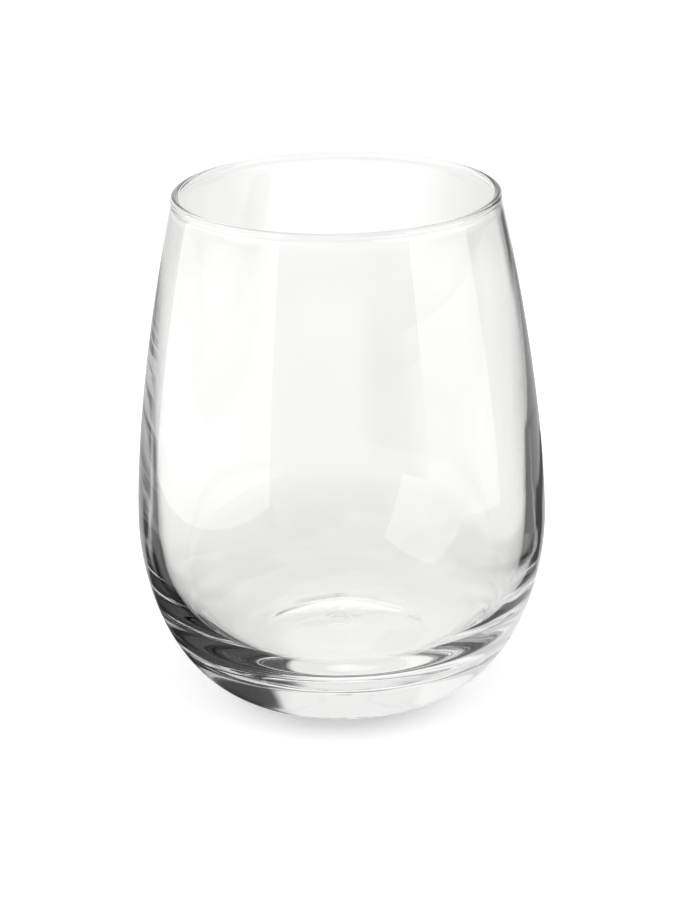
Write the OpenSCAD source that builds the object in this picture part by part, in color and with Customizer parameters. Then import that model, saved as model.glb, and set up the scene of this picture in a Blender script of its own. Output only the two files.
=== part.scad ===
// Stemless wine glass of clear glass, pressed and blown in one piece.
// It stands on a ring around a shallow hollow under its heavy base. The side swells to the belly,
// draws in to the mouth, and ends in a rim that the flame has rounded to a bead.
// Lengths are in millimetres. The origin is the middle of the standing ring, and Z is up.

/* [Outside] */
// Height from the table to the top of the rim
height = 107.5; // [98:0.5:120]
// Widest diameter, at the belly
belly_dia = 86.5; // [82:0.5:94]
// Height of the belly above the table
belly_height = 37.2; // [33:0.2:44]
// Diameter of the side just under the rim bead
mouth_dia = 66.8; // [62:0.2:74]
// Outer diameter of the ring that stands on the table
foot_dia = 43.2; // [41:0.2:48]
// Fullness of the heel between ring and belly, where 2 is an ellipse and more is squarer
heel_power = 1.92; // [1.7:0.02:2.3]
// How late the side draws in above the belly, where 2 is a parabola
draw_in_power = 1.6; // [1.4:0.05:2]

/* [Inside] */
// Thickness of the side at its widest inside circle
belly_wall = 3.3; // [2.4:0.1:4]
// Thickness of the side just under the rim bead
rim_wall = 1.2; // [1:0.1:1.5]
// How far the widest inside circle lies above the belly
bore_rise = 4.2; // [2:0.2:8]
// Thickness of the base on the axis, from the hollow beneath to the dish inside
base_thickness = 8.9; // [7.5:0.1:10.5]
// Diameter of the dished floor inside
floor_dia = 39.6; // [36:0.2:43]
// Depth of that dish on the axis
dish_depth = 1.7; // [1:0.1:2.4]
// Fullness of the corner between floor and side, where 2 is an ellipse and more is squarer
corner_power = 2.4; // [2.1:0.05:2.6]
// How late the inside draws in above its widest circle
bore_power = 2.1; // [1.8:0.05:2.3]

/* [Rim] */
// Thickness of the fire-polished bead
bead_dia = 1.7; // [1.5:0.1:2.1]
// How far the bead stands out past the side
bead_proud = 0.3; // [0.2:0.05:0.5]

/* [Base] */
// Diameter of the shallow hollow under the base
punt_dia = 38.8; // [34:0.2:40]
// Depth of that hollow on the axis
punt_depth = 0.9; // [0.5:0.1:2]
// Diameter of the mark that the gather leaves in the middle of the dish
gather_dia = 9; // [6:0.5:14]
// Depth of that mark on the axis
gather_depth = 0.35; // [0.2:0.05:0.6]

/* [Smoothness] */
// Straight bands that each curve of the outline is divided into
bands = 28; // [12:1:40]

/* [Hidden] */
round_sides = 128;

foot_radius = foot_dia / 2;
belly_radius = belly_dia / 2;
mouth_radius = mouth_dia / 2;
floor_radius = floor_dia / 2;
bore_radius = belly_radius - belly_wall;
neck_radius = mouth_radius - rim_wall;
bead_radius = bead_dia / 2;
bead_ring = mouth_radius + bead_proud - bead_radius;
bead_height = height - bead_radius;
dish_height = punt_depth + base_thickness;
floor_height = dish_height + dish_depth;
bore_height = belly_height + bore_rise;
band_shares = [for (i = [0 : bands]) i / bands];

// Share of the way out along a heel, at a share of the way up it. Its slope is level at the start.
function heel_share(up_share, power) = pow(1 - pow(1 - up_share, power), 1 / power);

// Share of the draw in, at a share of the way up from the widest circle. It starts upright.
function draw_in_share(up_share, power) = pow(up_share, power);

// A heel turns fastest where it starts, so the bands lie closer together there.
function crowded_share(share) = pow(share, 2);

// Points of a curve that leaves a level circle and turns upright at the widest one.
function heel(inner, outer, low, high, power) = [
    for (share = band_shares)
        let (up = crowded_share(share))
        [inner + (outer - inner) * heel_share(up, power), low + (high - low) * up]
];

// Points of a side that starts upright at its widest circle and draws in to the mouth.
function side(widest, narrow, low, high, power) = [
    for (share = band_shares)
        if (share > 0)
            [widest - (widest - narrow) * draw_in_share(share, power), low + (high - low) * share]
];

function reversed(points) = [for (i = [len(points) - 1 : -1 : 0]) points[i]];

// Radius of the ball whose cap has this diameter and depth
function ball_radius(cap_dia, depth) = (pow(cap_dia / 2, 2) + pow(depth, 2)) / (2 * depth);

outer_line = concat(
    heel(foot_radius, belly_radius, 0, belly_height, heel_power),
    side(belly_radius, mouth_radius, belly_height, bead_height, draw_in_power)
);
inner_line = concat(
    heel(floor_radius, bore_radius, floor_height, bore_height, corner_power),
    side(bore_radius, neck_radius, bore_height, bead_height, bore_power)
);

// Points of the dished floor, from its middle out to the edge where the corner starts.
dish_line = [
    for (share = band_shares)
        if (share < 1)
            [floor_radius * share, dish_height + dish_depth * pow(share, 2)]
];

// Half of the cut face through the axis, from the standing ring up to the middle of the bead.
module wall_section() {
    polygon(concat([[0, 0]], outer_line, reversed(inner_line), reversed(dish_line)));
}

// The fire-polished bead, round in section and a little thicker than the side below it.
module bead_section() {
    translate([bead_ring, bead_height]) circle(r = bead_radius, $fn = round_sides);
}

// A ball that hollows a shallow cap of this diameter out of a face, from underneath.
module cap_below(face_height, cap_dia, depth) {
    ball = ball_radius(cap_dia, depth);
    translate([0, face_height + depth - ball]) circle(r = ball, $fn = round_sides);
}

// A ball that sinks such a cap into a face from above.
module cap_above(face_height, cap_dia, depth) {
    ball = ball_radius(cap_dia, depth);
    translate([0, face_height - depth + ball]) circle(r = ball, $fn = round_sides);
}

// The whole glass: base, side and bead are one melt, so they are one solid.
module glass() {
    color([0.93, 0.95, 0.95, 0.35])
    rotate_extrude($fn = round_sides)
    difference() {
        union() {
            wall_section();
            bead_section();
        }
        cap_below(0, punt_dia, punt_depth);
        cap_above(dish_height, gather_dia, gather_depth);
    }
}

glass();
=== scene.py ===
# %% [markdown]
# # A stemless wine glass
#
# This lesson dresses one solid, a stemless wine glass that was pressed and blown from a single gather, for a
# studio picture on white. Clear glass has hardly any colour of its own. What the eye reads as glass is the
# shape of its two surfaces, the thickness between them, and what the studio round it sends through and off
# them. So most of the lesson is about a true section and about where the light and the dark cards stand.
#
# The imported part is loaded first. It fixes the place and the size, and everything below is built round it.

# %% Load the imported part
import math

import bmesh
import bpy
from mathutils import Matrix, Vector, noise


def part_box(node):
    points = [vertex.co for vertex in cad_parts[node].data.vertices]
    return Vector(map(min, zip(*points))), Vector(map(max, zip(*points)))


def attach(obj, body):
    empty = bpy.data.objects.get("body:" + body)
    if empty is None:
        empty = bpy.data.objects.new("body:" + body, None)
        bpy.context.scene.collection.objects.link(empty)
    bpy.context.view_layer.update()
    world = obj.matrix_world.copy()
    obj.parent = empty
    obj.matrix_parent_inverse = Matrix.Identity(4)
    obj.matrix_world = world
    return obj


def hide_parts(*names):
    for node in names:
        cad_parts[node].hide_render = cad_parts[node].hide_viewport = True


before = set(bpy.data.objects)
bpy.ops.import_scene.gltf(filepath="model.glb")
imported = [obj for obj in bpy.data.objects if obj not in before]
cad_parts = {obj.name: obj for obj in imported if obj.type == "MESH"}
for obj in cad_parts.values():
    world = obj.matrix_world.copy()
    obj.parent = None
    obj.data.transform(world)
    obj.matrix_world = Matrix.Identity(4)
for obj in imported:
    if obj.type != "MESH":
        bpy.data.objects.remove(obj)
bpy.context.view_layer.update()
MM = 0.001
glass_low, glass_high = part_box("glass")

# %% [markdown]
# ## The section of the glass
#
# A blown glass is a solid of revolution, so one half section tells all of it. It could be traced by hand as a
# long row of points. A few sizes and two curves say the same thing more clearly: a heel that leaves the
# standing ring level and turns upright at the belly, and a side that leaves the belly upright and draws in to
# the mouth. The inside has the same two curves with sizes of its own, and what lies between is the wall:
# thick and heavy in the base, a little over a millimetre at the rim.
#
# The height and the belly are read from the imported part, so the dressed glass can't drift away from it.

# %% Sizes of the glass, in millimetres
height = (glass_high.z - glass_low.z) / MM
belly_radius = (glass_high.x - glass_low.x) / 2 / MM
belly_height = 37.2
mouth_radius = 33.4
foot_radius = 21.6
heel_power = 1.92
draw_in_power = 1.6

belly_wall = 3.3
rim_wall = 1.2
bore_height = 41.4
floor_height = 11.5
floor_radius = 19.8
dish_depth = 1.7
corner_power = 2.4
bore_power = 2.1

bead_radius = 0.85
bead_proud = 0.3

punt_radius = 19.4
punt_depth = 0.9
punt_power = 3.2
gather_radius = 5.2
gather_depth = 0.35
ring_rounding = 0.5

print(f"the glass is {height:.1f} mm high and {2 * belly_radius:.1f} mm across the belly")

# %% [markdown]
# ## Helpers for the two curves
#
# Each curve is a share of the way out, worked out from a share of the way up. Points crowd towards the level
# end of a heel, where the curve turns fastest. A lens needs many more points than a solid cup does, because
# every facet of the outline bends the picture behind it.

# %% Curves of the section
HEEL_POINTS = 44
SIDE_POINTS = 44
FLOOR_POINTS = 50
CROWDING = 1.7


def heel(inner, outer, low, high, power):
    """Points from the level circle up to the widest one."""
    points = []
    for i in range(HEEL_POINTS + 1):
        up = (i / HEEL_POINTS) ** CROWDING
        share = (1 - (1 - up) ** power) ** (1 / power)
        points.append((inner + (outer - inner) * share, low + (high - low) * up))
    return points


def side(widest, narrow, low, high, power):
    """Points above the widest circle, up to the neck under the bead."""
    points = []
    for i in range(1, SIDE_POINTS + 1):
        up = i / SIDE_POINTS
        points.append((widest - (widest - narrow) * up ** power, low + (high - low) * up))
    return points


def arc(centre, radius, start, end, steps):
    """Points of a round, counted in degrees from start to end."""
    turns = [math.radians(start + (end - start) * i / steps) for i in range(steps + 1)]
    return [(centre[0] + radius * math.cos(t), centre[1] + radius * math.sin(t)) for t in turns]


print("curves ready")

# %% [markdown]
# ## The outline, from the hollow underneath to the floor inside
#
# The outline starts on the axis, under the base. It runs out along the shallow hollow, rounds the standing
# ring, climbs the outside, goes over the fire-polished bead and comes down the inside to the axis again. The
# ring's inner edge is rounded a little, because a pressed edge that has been in the flame is never sharp.
#
# The bead is a round that covers about two thirds of a turn. The two sides stop just below it, so that no
# point of a side lies inside the bead.

# %% The hollow underneath
RING_POINTS = 6


def punt():
    """The hollow under the base, from the axis to the rounded edge of the standing ring."""
    last = punt_radius - ring_rounding
    points = []
    for i in range(FLOOR_POINTS + 1):
        r = last * i / FLOOR_POINTS
        points.append((r, punt_depth * (1 - (r / punt_radius) ** punt_power)))
    lift = points[-1][1]
    for i in range(1, RING_POINTS + 1):
        share = i / RING_POINTS
        points.append((last + 2 * ring_rounding * share, lift * (1 - share) ** 2))
    return points


print("hollow:", 2 * punt_radius, "mm across,", punt_depth, "mm deep")

# %% The bead and the floor inside
BEAD_FROM = -30
BEAD_TO = 205
BEAD_STEPS = 24
bead_ring = mouth_radius + bead_proud - bead_radius
bead_height = height - bead_radius
side_top = bead_height - 1.1 * bead_radius


def bead():
    """The bead, from the outside of the neck over the top to the inside."""
    return arc((bead_ring, bead_height), bead_radius, BEAD_FROM, BEAD_TO, BEAD_STEPS)


def floor_inside():
    """The floor of the bowl, from its corner to the axis."""
    points = []
    for i in range(1, FLOOR_POINTS + 1):
        share = 1 - i / FLOOR_POINTS
        r = floor_radius * share
        mark = gather_depth * max(0, 1 - (r / gather_radius) ** 2) ** 2
        points.append((r, floor_height - dish_depth * (1 - share ** 2) - mark))
    return points


print(f"bead: {2 * bead_radius:.1f} mm thick, its middle {bead_height:.2f} mm up")

# %% The whole outline
bore_radius = belly_radius - belly_wall
neck_radius = mouth_radius - rim_wall
outer_side = [point for point in side(belly_radius, mouth_radius, belly_height, bead_height, draw_in_power)
              if point[1] < side_top]
bore_side = [point for point in side(bore_radius, neck_radius, bore_height, bead_height, bore_power)
             if point[1] < side_top]

outline = punt()
outline += heel(foot_radius, belly_radius, 0, belly_height, heel_power)
outline += outer_side
outline += bead()
outline += bore_side[::-1]
outline += heel(floor_radius, bore_radius, floor_height, bore_height, corner_power)[::-1]
outline += floor_inside()
print("outline points:", len(outline))

# %% [markdown]
# ## Spinning the outline
#
# Spin turns the outline once round the axis. The two ends of the outline lie on the axis, so each makes a
# crowd of points in one place, and merging them closes the two poles. Then the normals are worked out afresh,
# because glass that thinks its inside is its outside bends light the wrong way.

# %% Spin the glass
TURNS = 240
MERGE = 1e-6


def spun(points, turns):
    """A closed mesh, made by turning a half section once round the axis."""
    mesh = bmesh.new()
    ring = [mesh.verts.new((r * MM, 0, z * MM)) for r, z in points]
    edges = [mesh.edges.new(pair) for pair in zip(ring, ring[1:])]
    bmesh.ops.spin(mesh, geom=ring + edges, cent=(0, 0, 0), axis=(0, 0, 1), dvec=(0, 0, 0),
                   angle=math.tau, steps=turns, use_merge=True)
    bmesh.ops.remove_doubles(mesh, verts=mesh.verts, dist=MERGE)
    bmesh.ops.recalc_face_normals(mesh, faces=mesh.faces)
    return mesh


glass_mesh = spun(outline, TURNS)
open_edges = sum(1 for e in glass_mesh.edges if not e.is_manifold)
print("faces:", len(glass_mesh.faces), "open edges:", open_edges)

# %% [markdown]
# ## The marks of the making
#
# Inside, nothing touched the glass but air, so its inner surface kept the flow of the melt. Seen against a
# plain ground it looks perfect. Where it is seen aslant, low down and at the edges, slow waves of a few
# hundredths of a millimetre break the dark reflections into streaks. The streaks show on the right of this
# glass and hardly at all on its left, so the waves are strong on one side and nearly still on the other. In
# the middle of the floor is the mark where the gather was cut off, with uneven rings round it, like the rings
# round a drop that fell in water.
#
# A bump texture could fake both. But bump doesn't bend the light that passes through to the far surface in
# the same way, and the exported model would lose it, so the vertices themselves are moved. The waves come
# from smooth noise, which gives the same result on each run.

# %% Sizes of the waves and rings, in millimetres
WAVE_DEPTH = 0.07
WAVE_SIZE = 13
WAVE_STRETCH = 2.2
WAVE_TOP = 62
STILL_SHARE = 0.15
STILL_AT = -30
LIVELY_AT = 12
SMALL_WAVES = 0.4
SMALL_FINENESS = 2.3

RING_DEPTH = 0.06
RING_SPACING = 2.6
RING_REACH = 11
RING_FADING = 1.5
RING_UNEVEN = 1.4
RING_PATCH = 5
print("a wave is about", WAVE_SIZE, "mm long, and the rings lie", RING_SPACING, "mm apart")

# %% Waves and rings
FACES_UP = 0.5
FACES_DOWN = -0.3


def is_inside(vert):
    """Whether the vertex lies on the side that the drink touches."""
    across = vert.co.x * vert.normal.x + vert.co.y * vert.normal.y
    above_hollow = vert.co.z > punt_depth * MM
    on_floor = vert.normal.z > FACES_UP and math.hypot(vert.co.x, vert.co.y) < bore_radius * MM
    return above_hollow and (across < 0 or on_floor) and vert.normal.z > FACES_DOWN


def wave_at(x, y, z):
    """Depth of the slow waves at a place. They die out towards the mouth, and are nearly still on the left."""
    fading = max(0, 1 - z / WAVE_TOP)
    share = min(1, max(0, (x - STILL_AT) / (LIVELY_AT - STILL_AT)))
    fading *= STILL_SHARE + (1 - STILL_SHARE) * share ** 2 * (3 - 2 * share)
    place = Vector((x, y, z * WAVE_STRETCH)) / WAVE_SIZE
    return WAVE_DEPTH * fading * (noise.noise(place) + SMALL_WAVES * noise.noise(place * SMALL_FINENESS))


def ring_at(x, y):
    """Depth of the rings round the gather mark."""
    r = math.hypot(x, y)
    uneven = RING_UNEVEN * noise.noise(Vector((x, y, 0)) / RING_PATCH)
    strength = max(0, 1 - r / RING_REACH) ** RING_FADING
    return RING_DEPTH * strength * math.sin(math.tau * (r / RING_SPACING + uneven))


glass_mesh.normal_update()
moved = 0
deepest = 0
for vert in glass_mesh.verts:
    if not is_inside(vert):
        continue
    x, y, z = vert.co / MM
    shift = wave_at(x, y, z)
    if vert.normal.z > FACES_UP:
        shift += ring_at(x, y)
    vert.co += vert.normal * shift * MM
    moved += 1
    deepest = max(deepest, abs(shift))
print("vertices on the inner surface:", moved, "of", len(glass_mesh.verts))
print(f"largest shift: {deepest:.3f} mm")

# %% [markdown]
# ## The piece
#
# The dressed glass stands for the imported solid, rides with it, and takes the finish of its material slot.
# Every face is shaded smooth: a glass has no edge anywhere, and a flat facet would show in the studio's
# reflections at once.

# %% Make the piece
glass_data = bpy.data.meshes.new("wine_glass")
glass_mesh.to_mesh(glass_data)
glass_mesh.free()
for face in glass_data.polygons:
    face.use_smooth = True
wine_glass = bpy.data.objects.new("wine_glass", glass_data)
bpy.context.collection.objects.link(wine_glass)
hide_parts("glass")
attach(wine_glass, "root")
print("piece:", wine_glass.name, len(glass_data.vertices), "vertices")

# %% [markdown]
# ## Helpers for number nodes
#
# Most of the shading below is arithmetic: a height, a bearing or a distance goes in, and a level comes out.
# These short helpers make the nodes for it, so that each material can be read as a formula.

# %% Helpers for number nodes
def shader_tree(owner):
    """The owner's node tree, emptied, with its output node."""
    owner.use_nodes = True
    tree = owner.node_tree
    tree.nodes.clear()
    kind = "ShaderNodeOutputWorld" if owner.id_type == "WORLD" else "ShaderNodeOutputMaterial"
    return tree, tree.nodes.new(kind)


def plug(tree, value, socket):
    """Set a socket to a plain value, or link a node's output to it."""
    if isinstance(value, bpy.types.NodeSocket):
        tree.links.new(value, socket)
    else:
        socket.default_value = value


def number(tree, operation, *values):
    """One Math node."""
    node = tree.nodes.new("ShaderNodeMath")
    node.operation = operation
    for value, socket in zip(values, node.inputs):
        plug(tree, value, socket)
    return node.outputs[0]


def fade(tree, value, start, end):
    """A soft step from 0 at the start to 1 at the end."""
    node = tree.nodes.new("ShaderNodeMapRange")
    node.interpolation_type = "SMOOTHSTEP"
    node.inputs["From Min"].default_value = start
    node.inputs["From Max"].default_value = end
    tree.links.new(value, node.inputs["Value"])
    return node.outputs[0]


def between(tree, value, low, high, soft):
    """1 from low to high and 0 outside, with soft edges."""
    rise = fade(tree, value, low - soft, low + soft)
    fall = fade(tree, value, high - soft, high + soft)
    return number(tree, "MULTIPLY", rise, number(tree, "SUBTRACT", 1.0, fall))


def over(tree, below, level, share):
    """A level laid over a brightness, where the share is 1."""
    node = tree.nodes.new("ShaderNodeMix")
    plug(tree, share, node.inputs[0])
    plug(tree, below, node.inputs[2])
    plug(tree, level, node.inputs[3])
    return node.outputs[0]


print("number helpers ready")

# %% [markdown]
# ## Clear glass
#
# Soda-lime glass bends light by 1.52. Where only air and the flame have touched it, it is as smooth as a
# surface can be, so its roughness is nought over nearly all of the piece. Any haze there would be wrong. A
# trace of iron and selenium in the melt leaves a faint warm grey, which adds up where the glass is thick.
#
# One place isn't smooth. The standing ring is slid over tables and shelves, and each slide leaves scratches
# finer than a hair. They are made from noise in the glass's own coordinates, in patches of dense and sparse
# wear, and they end a little above the table, where nothing rubs. Both the roughness and a very shallow bump
# follow them. The index and the colour of the melt don't vary from place to place, so they stay plain values.

# %% The clear melt
GLASS_INDEX = 1.52
GLASS_TINT = (0.992, 0.99, 0.982, 1)

glass_finish = bpy.data.materials.new("clear_glass")
glass_finish.use_nodes = True
glass_shader = glass_finish.node_tree.nodes["Principled BSDF"]
glass_shader.inputs["Base Color"].default_value = GLASS_TINT
glass_shader.inputs["Transmission Weight"].default_value = 1
glass_shader.inputs["IOR"].default_value = GLASS_INDEX
glass_data.materials.append(glass_finish)
print("material:", glass_finish.name)

# %% Scratches on the standing ring
WEAR_TOP = 0.7
WEAR_FULL = 0.28
WEAR_ROUGHNESS = 0.32
SCRATCH_DEPTH = 0.006
PATCH_SCALE = 220
PATCH_EDGES = (0.3, 0.65)
SCRATCH_SCALE = 2600
SCRATCH_EDGES = (0.35, 0.7)

tree = glass_finish.node_tree
place = tree.nodes.new("ShaderNodeTexCoord")
split = tree.nodes.new("ShaderNodeSeparateXYZ")
tree.links.new(place.outputs["Object"], split.inputs[0])
rubbed = number(tree, "SUBTRACT", 1.0, fade(tree, split.outputs["Z"], WEAR_FULL * MM, WEAR_TOP * MM))
patches = tree.nodes.new("ShaderNodeTexNoise")
patches.inputs["Scale"].default_value = PATCH_SCALE
patches.inputs["Detail"].default_value = 2
scratches = tree.nodes.new("ShaderNodeTexNoise")
scratches.inputs["Scale"].default_value = SCRATCH_SCALE
scratches.inputs["Detail"].default_value = 5
scratches.inputs["Distortion"].default_value = 0.8
for grain in (patches, scratches):
    tree.links.new(place.outputs["Object"], grain.inputs["Vector"])
worn = number(tree, "MULTIPLY", rubbed, fade(tree, patches.outputs["Fac"], *PATCH_EDGES))
worn = number(tree, "MULTIPLY", worn, fade(tree, scratches.outputs["Fac"], *SCRATCH_EDGES))
rough = number(tree, "MULTIPLY", worn, WEAR_ROUGHNESS)
tree.links.new(rough, glass_shader.inputs["Roughness"])
grooves = tree.nodes.new("ShaderNodeBump")
grooves.invert = True
grooves.inputs["Distance"].default_value = SCRATCH_DEPTH * MM
tree.links.new(worn, grooves.inputs["Height"])
tree.links.new(grooves.outputs[0], glass_shader.inputs["Normal"])
print("scratches end", WEAR_TOP, "mm above the table")

# %% [markdown]
# ## The camera
#
# The camera stands where the picture was taken from: about half a metre away and 21 degrees above the table,
# with a long lens. These few numbers were found by laying the outline of the part over the outline in the
# picture until the two agreed to a pixel or two. The lens is given in pixels, because a picture's own width
# is the only ruler that it carries, and is turned into millimetres here. The picture hangs a degree off
# upright, so the camera is rolled by as much.

# %% Camera
IMAGE_WIDTH = 700
FOCAL_PIXELS = 2378.5
camera_distance = 502.9
camera_elevation = 20.936
camera_roll = -0.934
aim_aside = 1.953
aim_height = 51.13
orbit_height = 50.29

tilt = math.radians(camera_elevation)
eye = Vector((0, -camera_distance * math.cos(tilt), camera_distance * math.sin(tilt) + orbit_height)) * MM
aim = Vector((aim_aside, 0, aim_height)) * MM
forward = (aim - eye).normalized()
right = forward.cross(Vector((0, 0, 1))).normalized()
up = right.cross(forward)
roll = Matrix.Rotation(math.radians(-camera_roll), 3, forward)
right = roll @ right
up = roll @ up

camera_data = bpy.data.cameras.new("camera")
camera_data.sensor_fit = "HORIZONTAL"
camera_data.sensor_width = 36
camera_data.lens = camera_data.sensor_width * FOCAL_PIXELS / IMAGE_WIDTH
camera_data.clip_start = 0.01
camera = bpy.data.objects.new("camera", camera_data)
bpy.context.collection.objects.link(camera)
camera.matrix_world = Matrix(((right.x, up.x, -forward.x, eye.x), (right.y, up.y, -forward.y, eye.y),
                              (right.z, up.z, -forward.z, eye.z), (0, 0, 0, 1)))
bpy.context.scene.camera = camera
print("camera at", [round(v, 4) for v in eye])

# %% [markdown]
# ## A studio for glass
#
# Glass on white is lit by what stands round it. The backdrop and the table are white, and black cards stand
# left and right, out of the picture. The thick edges of a glass gather light from far aside, so they show
# those cards as dark lines, and the eye reads the shape from them. Real cards could be modelled, but dozens of
# crossing cards are hard to place. Here the studio is painted instead: the world is a round wall with cards on
# it, named by bearing and height above the horizon, and the table has its own cards.
#
# Four kinds of light path see four versions of it. What the camera sees past the glass is plain white. What it
# sees straight through the glass is the white table with a soft grading of painted shade, darker under and
# round the foot, which stands for the glass's shadow on the table. Only light that a surface has mirrored on
# its way sees the cards. The light that falls on the matt table comes from lamps of its own. Light Path tells
# the four apart. No real studio does that: it is a way to set each of them without spoiling the others.
#
# To find the place for a card, paths were followed from the camera through the glass to where they ended, for a
# spot that should be dark or bright. Then a card was laid there, and the picture was looked at again.

# %% View transform
scene = bpy.context.scene
scene.view_settings.view_transform = "Standard"
print("view transform:", scene.view_settings.view_transform)

# %% Helpers for cards
def bearing_of(tree, x, y):
    """Degrees round the glass, from 0 towards the camera through 90 on its right."""
    return number(tree, "DEGREES", number(tree, "ARCTAN2", x, number(tree, "MULTIPLY", y, -1.0)))


def card_round(tree, below, bearing, reach, card):
    """Lay a card over the brightness: a stretch of bearings, and a stretch of heights or distances."""
    _, level, centre, half, edge, low, high, soft = card
    aside = number(tree, "WRAP", number(tree, "SUBTRACT", bearing, centre), 180.0, -180.0)
    aside = number(tree, "ABSOLUTE", aside)
    share = number(tree, "SUBTRACT", 1.0, fade(tree, aside, half - edge, half + edge))
    share = number(tree, "MULTIPLY", share, between(tree, reach, low, high, soft))
    return over(tree, below, level, share)


def card_along(tree, below, x, y, card):
    """Lay a card over the table, along a line from one point to another, in millimetres."""
    _, level, x0, y0, x1, y1, half, soft = card
    length = math.hypot(x1 - x0, y1 - y0)
    dx = (x1 - x0) / length
    dy = (y1 - y0) / length
    from_x = number(tree, "SUBTRACT", x, x0)
    from_y = number(tree, "SUBTRACT", y, y0)
    along = number(tree, "MULTIPLY_ADD", from_x, dx, number(tree, "MULTIPLY", from_y, dy))
    across = number(tree, "MULTIPLY_ADD", from_x, -dy, number(tree, "MULTIPLY", from_y, dx))
    across = number(tree, "ABSOLUTE", across)
    share = number(tree, "SUBTRACT", 1.0, fade(tree, across, half - soft, half + soft))
    share = number(tree, "MULTIPLY", share, between(tree, along, 0.0, length, soft))
    return over(tree, below, level, share)


print("card helpers ready")

# %% [markdown]
# ## The round wall
#
# Each line is a card: its name and its level, where 1 is white, then the bearing of its middle, half its width
# and the softness of its sides in degrees, and then its lowest and highest point above the horizon and the
# softness of those edges. A later card covers an earlier one.

# %% Cards on the wall
WALL_LEVEL = 0.58
wall_cards = [
    ("low_glow_left", 0.7, 270, 28, 12, -10, 5, 2),
    ("left_window", 0.98, 280, 16, 6, 21, 37, 4),
    ("left_strip", 0.75, 277, 7, 4, -10, 32, 4),
    ("dark_front", 0.04, 350, 24, 5, 6, 36, 3),
    ("bright_above", 1.05, 334, 24, 5, 38, 58, 4),
    ("dark_above", 0.04, 22, 24, 4, 30, 58, 4),
    ("dark_front_left", 0.2, 314, 20, 8, 4, 17, 4),
    ("dark_right", 0.03, 60, 50, 5, 6, 60, 4),
    ("dark_right_behind", 0.06, 130, 27, 2, -10, 36, 3),
    ("grey_right_behind", 0.08, 124, 24, 8, 35, 57, 4),
    ("low_glow_right", 0.25, 60, 45, 10, -10, 5, 2),
    ("backdrop_right", 1.0, 212, 22, 4, -10, 56, 5),
    ("backdrop", 0.86, 179, 22, 1.5, -10, 38, 5),
    ("backdrop_above", 1.0, 184, 19, 4, 36, 62, 4),
    ("dark_corner", 0.08, 148, 13, 2, 18, 57, 3),
    ("backdrop_low", 1.15, 182, 24, 3, -10, 13, 3),
    ("ceiling", 0.95, 0, 200, 1, 60, 100, 5),
    ("ceiling_behind", 1.3, 165, 45, 10, 58, 100, 6),
    ("ceiling_right", 0.1, 72, 40, 8, 56, 66, 4),
]
print(len(wall_cards), "cards on the wall")

# %% [markdown]
# ## The world
#
# Light that has only gone straight meets the white table or, through the foot of the glass, the lowest part
# of the wall, so for that light the wall is white there and its cards fade in above the horizon. The world
# isn't sampled as a lamp, because its brightness depends on the path that reaches it.
#
# The matt table takes its light from a sheet overhead and from a lamp on each side. The sheet alone would give
# a shadow as wide as the belly. The lamps shine in under the belly from both sides and wash most of it out, so
# what is left is the soft dark strip where the foot meets the table. Lamps are written like cards on the wall.
#
# In the thin wall some light runs round and round between the two surfaces. Paths that start side by side end
# far apart, and would fill the edges with bright and dark dashes. On a real glass the least unevenness mixes
# them into one tone. So a path that was mirrored a dozen times or more counts as lost, and sees one dark grey,
# with a lighter stretch on the left, where the edge of this glass is pale. That is a simplification, and it is
# there for the look of the edges.

# %% Lamps for the table, and lost light
OVERHEAD_LEVEL = 1.1
OVERHEAD_FADE = (35, 60)
side_lamps = [
    ("left_lamp", 3.0, 268, 44, 8, 11, 46, 5),
    ("right_lamp", 3.3, 88, 44, 8, 11, 46, 5),
]
LOST_AFTER = 11.5
LOST_LEVEL = 0.06
lost_left = ("lost_left", 0.5, 277, 50, 6, 17, 100, 9)
HORIZON_FADE = (8, 16)
print(len(side_lamps), "side lamps, and paths are lost after", int(LOST_AFTER), "mirrorings")

# %% World
world = bpy.data.worlds.new("studio")
scene.world = world
world.cycles.sampling_method = "NONE"
tree, out = shader_tree(world)
place = tree.nodes.new("ShaderNodeTexCoord")
split = tree.nodes.new("ShaderNodeSeparateXYZ")
tree.links.new(place.outputs["Generated"], split.inputs[0])
bearing = bearing_of(tree, split.outputs["X"], split.outputs["Y"])
elevation = number(tree, "DEGREES", number(tree, "ARCSINE", split.outputs["Z"]))

wall = WALL_LEVEL
for card in wall_cards:
    wall = card_round(tree, wall, bearing, elevation, card)
lost_wall = card_round(tree, LOST_LEVEL, bearing, elevation, lost_left)
lamps = number(tree, "MULTIPLY", fade(tree, elevation, *OVERHEAD_FADE), OVERHEAD_LEVEL)
for card in side_lamps:
    lamps = card_round(tree, lamps, bearing, elevation, card)

path = tree.nodes.new("ShaderNodeLightPath")
mirrored = number(tree, "GREATER_THAN", path.outputs["Glossy Depth"], 0.5)
lost = number(tree, "GREATER_THAN", path.outputs["Glossy Depth"], LOST_AFTER)
through = number(tree, "GREATER_THAN", path.outputs["Transmission Depth"], 0.5)
from_table = number(tree, "GREATER_THAN", path.outputs["Diffuse Depth"], 0.5)
wall = over(tree, wall, lost_wall, lost)
straight = over(tree, 1.0, wall, fade(tree, elevation, *HORIZON_FADE))
seen = over(tree, straight, wall, mirrored)
touched = number(tree, "MAXIMUM", mirrored, through)
seen = over(tree, 1.0, seen, touched)
seen = over(tree, seen, lamps, from_table)
sky = tree.nodes.new("ShaderNodeBackground")
sky.inputs["Color"].default_value = (1, 1, 1, 1)
tree.links.new(seen, sky.inputs["Strength"])
tree.links.new(sky.outputs[0], out.inputs["Surface"])
print("world nodes:", len(tree.nodes))
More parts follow.
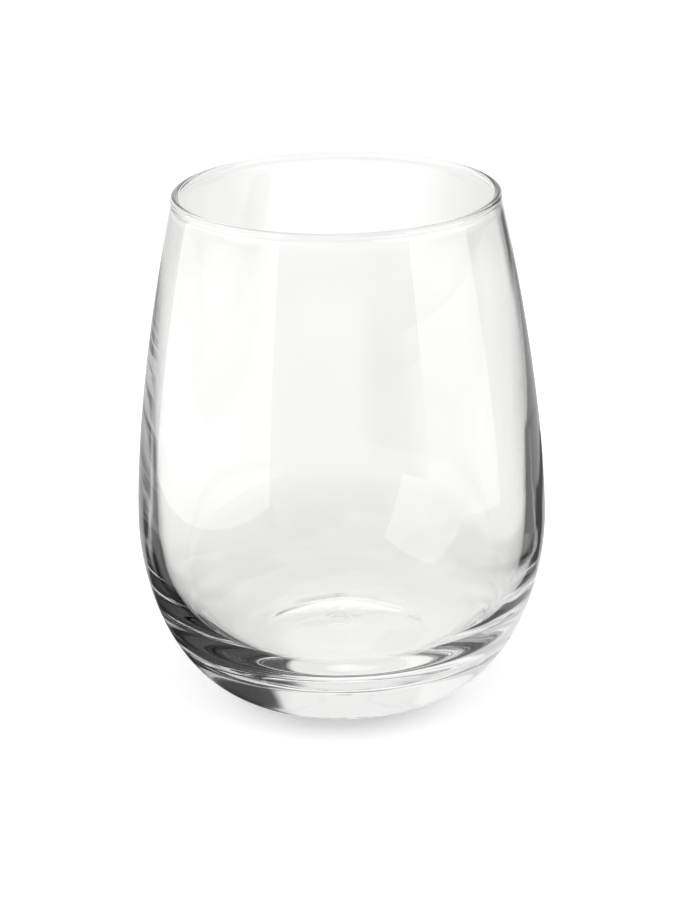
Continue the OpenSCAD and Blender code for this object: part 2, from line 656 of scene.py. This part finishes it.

# %% [markdown]
# ## The table
#
# The table is a matt white sheet. Most of its white comes from its colour under the lamps, and the rest from a
# glow of its own, so that the shadow of the glass stays a soft grey instead of going black. In mirrored light
# it carries the lower ends of the cards. The broad ones are written like those on the wall, with distances in
# millimetres in place of heights. The narrow ones, most of them black, stand close beside the glass. Each is a
# name, a level, the point where it starts, the point where it ends, half its width and the softness of its
# edges. Two dark ones, shade_near_left and shade_left_near, are no cards but painted shade: the table just left
# of the foot, where the glass shades it, made dark for mirrored light.
#
# Seen straight through the glass, the table is a little grey behind the foot, gets lighter with the distance
# and is white far off, where it fills the mouth. That grey is painted shade: it stands for the shadow of the
# glass on the table, which this version doesn't work out. Two grey stretches far behind shade the sides of the
# mouth.

# %% Cards on the table
TABLE_LEVEL = 0.7
table_cards = [
    ("front", 0.84, 0, 30, 6, 0, 110, 10),
    ("front_far", 0.5, 0, 33, 10, 115, 9000, 15),
    # Painted shade: the table on the left of the foot, dark in mirrored light.
    ("shade_near_left", 0.06, 285, 48, 8, 15, 82, 6),
    ("near_right", 0.85, 90, 60, 8, 24, 80, 6),
    ("under_left", 0.08, 197, 17, 4, 15, 35, 3),
    ("right_light", 1.15, 65, 24, 5, 200, 90000, 40),
    ("left_behind", 0.66, 217, 13, 5, 100, 420, 30),
    ("right_behind", 0.12, 147, 10, 3, 380, 90000, 60),
    ("backdrop", 0.9, 182, 15, 5, 40, 90000, 20),
    ("left_light", 1.05, 270, 32, 10, 150, 90000, 30),
]
narrow_cards = [
    # Painted shade: a dark strip by the foot on its left, in mirrored light.
    ("shade_left_near", 0.0, -16, -26, -50, 2, 9, 4),
    ("left", 0.0, -50, -4, -92, 48, 15, 5),
    ("left_fading", 0.55, -114, 92, -104, 185, 18, 12),
    ("left_far", 0.06, -88, 40, -116, 92, 12, 6),
    ("right", 0.03, 116, -85, 82, 40, 15, 5),
    ("right_middle", 0.06, 78, 30, 112, 100, 16, 5),
    ("right_far", 0.1, 104, 90, 82, 150, 14, 5),
]
grey_sides = [
    ("grey_far_right", 0.93, 164, 10, 2, 330, 90000, 60),
    ("grey_far_left", 0.93, 194, 9, 2, 330, 90000, 60),
]
print(len(table_cards), "broad cards and", len(narrow_cards), "narrow ones on the table")

# %% Table
TABLE_SIZE = 6

table_mesh = bmesh.new()
bmesh.ops.create_grid(table_mesh, x_segments=1, y_segments=1, size=TABLE_SIZE)
table_data = bpy.data.meshes.new("table")
table_mesh.to_mesh(table_data)
table_mesh.free()
table = bpy.data.objects.new("table", table_data)
bpy.context.collection.objects.link(table)

table_finish = bpy.data.materials.new("white_table")
table_data.materials.append(table_finish)
tree, out = shader_tree(table_finish)
place = tree.nodes.new("ShaderNodeTexCoord")
split = tree.nodes.new("ShaderNodeSeparateXYZ")
tree.links.new(place.outputs["Object"], split.inputs[0])
x = number(tree, "MULTIPLY", split.outputs["X"], 1 / MM)
y = number(tree, "MULTIPLY", split.outputs["Y"], 1 / MM)
bearing = bearing_of(tree, x, y)
distance = number(tree, "SQRT", number(tree, "MULTIPLY_ADD", x, x, number(tree, "MULTIPLY", y, y)))
sheet = TABLE_LEVEL
for card in table_cards:
    sheet = card_round(tree, sheet, bearing, distance, card)
for card in narrow_cards:
    sheet = card_along(tree, sheet, x, y, card)
print("table nodes:", len(tree.nodes))

# %% Three versions of the table
TABLE_GLOW = 0.2
TABLE_COLOUR = 1.0
# Painted shade: the see-through table is darker under and round the foot, for the glass's shadow.
THROUGH_SHADE_UNDER = 0.92
THROUGH_SHADE_BEHIND = 0.865
THROUGH_NEAR = 1.0
THROUGH_FAR = 1.07
UNDER_FADE = (20, 28)
BEHIND_FADE = (45, 115)
FAR_FADE = (150, 380)

matt = tree.nodes.new("ShaderNodeBsdfDiffuse")
matt.inputs["Color"].default_value = (TABLE_COLOUR, TABLE_COLOUR, TABLE_COLOUR, 1)
lift = tree.nodes.new("ShaderNodeEmission")
lift.inputs["Strength"].default_value = TABLE_GLOW
white = tree.nodes.new("ShaderNodeAddShader")
tree.links.new(matt.outputs[0], white.inputs[0])
tree.links.new(lift.outputs[0], white.inputs[1])

path = tree.nodes.new("ShaderNodeLightPath")
lost = number(tree, "GREATER_THAN", path.outputs["Glossy Depth"], LOST_AFTER)
cards = tree.nodes.new("ShaderNodeEmission")
tree.links.new(over(tree, sheet, LOST_LEVEL, lost), cards.inputs["Strength"])

# Painted shade: the see-through table grows lighter with the distance from the foot.
level = over(tree, THROUGH_SHADE_BEHIND, THROUGH_NEAR, fade(tree, distance, *BEHIND_FADE))
level = over(tree, level, THROUGH_FAR, fade(tree, distance, *FAR_FADE))
level = over(tree, THROUGH_SHADE_UNDER, level, fade(tree, distance, *UNDER_FADE))
for card in grey_sides:
    level = card_round(tree, level, bearing, distance, card)
bright = tree.nodes.new("ShaderNodeEmission")
tree.links.new(level, bright.inputs["Strength"])
print("matt, mirrored and see-through versions ready")

# %% Choosing between them by the light path
mirrored = number(tree, "GREATER_THAN", path.outputs["Glossy Depth"], 0.5)
through = number(tree, "GREATER_THAN", path.outputs["Transmission Depth"], 0.5)
straight = tree.nodes.new("ShaderNodeMixShader")
tree.links.new(through, straight.inputs[0])
tree.links.new(white.outputs[0], straight.inputs[1])
tree.links.new(bright.outputs[0], straight.inputs[2])
either = tree.nodes.new("ShaderNodeMixShader")
tree.links.new(mirrored, either.inputs[0])
tree.links.new(straight.outputs[0], either.inputs[1])
tree.links.new(cards.outputs[0], either.inputs[2])
tree.links.new(either.outputs[0], out.inputs["Surface"])
print("table finish ready")

# %% [markdown]
# ## Two softboxes and a sheet of paper
#
# The tall pale shapes on the front of the glass are two softboxes, one on each side, mirrored by the outer
# surface. Low on the right it also mirrors a sheet of paper that lies on the table. The surface mirrors only a
# twentieth of what it meets, so these must be brighter than white to show. They are real panels, because their
# edges are crisp, and each is as large as its reflection asks for. Their visibility settings and Light Path
# hide them from everything but that one reflection, so they add no light to the glass itself.

# %% Helpers for softboxes and paper
SOFTBOX_HEIGHT = 500
ABOVE_TABLE = 1


def shining(name, mesh, level):
    """An object of the studio that is seen only in the first reflection off the front of the glass."""
    data = bpy.data.meshes.new(name)
    mesh.to_mesh(data)
    mesh.free()
    panel = bpy.data.objects.new(name, data)
    bpy.context.collection.objects.link(panel)
    panel.visible_camera = False
    panel.visible_diffuse = False
    panel.visible_transmission = False
    panel.visible_shadow = False
    finish = bpy.data.materials.new(name)
    data.materials.append(finish)
    tree, out = shader_tree(finish)
    path = tree.nodes.new("ShaderNodeLightPath")
    first = number(tree, "LESS_THAN", path.outputs["Transmission Depth"], 0.5)
    shine = tree.nodes.new("ShaderNodeEmission")
    shine.inputs["Strength"].default_value = level
    clear = tree.nodes.new("ShaderNodeBsdfTransparent")
    either = tree.nodes.new("ShaderNodeMixShader")
    tree.links.new(first, either.inputs[0])
    tree.links.new(clear.outputs[0], either.inputs[1])
    tree.links.new(shine.outputs[0], either.inputs[2])
    tree.links.new(either.outputs[0], out.inputs["Surface"])


def softbox(name, x, y0, y1, level):
    """An upright panel beside the glass, drawn up from its lower edge. Places are in millimetres."""
    mesh = bmesh.new()
    foot = [mesh.verts.new((x * MM, y * MM, ABOVE_TABLE * MM)) for y in (y0, y1)]
    base = mesh.edges.new(foot)
    raised = bmesh.ops.extrude_edge_only(mesh, edges=[base])
    tops = [v for v in raised["geom"] if isinstance(v, bmesh.types.BMVert)]
    bmesh.ops.translate(mesh, verts=tops, vec=(0, 0, SOFTBOX_HEIGHT * MM))
    shining(name, mesh, level)


def paper(name, corners, level):
    """A sheet that lies on the table in front of the glass. Corners are in millimetres."""
    mesh = bmesh.new()
    mesh.faces.new([mesh.verts.new((x * MM, y * MM, ABOVE_TABLE * MM)) for x, y in corners])
    shining(name, mesh, level)


print("panel helpers ready")

# %% Softboxes and paper
LEFT_LIGHT = 2.1
RIGHT_LIGHT = 1.9
PAPER_LIGHT = 2.0

softbox("left_softbox", -180, -240, 85, LEFT_LIGHT)
softbox("right_softbox", 200, -195, -5, RIGHT_LIGHT)
paper("paper", [(240, -380), (300, -112), (203, -95), (108, -112), (80, -215)], PAPER_LIGHT)
print("softboxes and paper ready")

# %% [markdown]
# ## Long light paths
#
# Light in the thick foot and the thin wall is thrown from surface to surface many times before it finds a way
# out. Each path that is cut short is black, so the limits on its length are raised well past the dozen
# mirrorings after which it counts as lost. A path that is longer still would have seen the dark grey anyway.

# %% Light paths
LONGEST_PATH = 40
scene.cycles.max_bounces = LONGEST_PATH
scene.cycles.glossy_bounces = LONGEST_PATH
scene.cycles.transmission_bounces = LONGEST_PATH
print("bounces:", LONGEST_PATH)
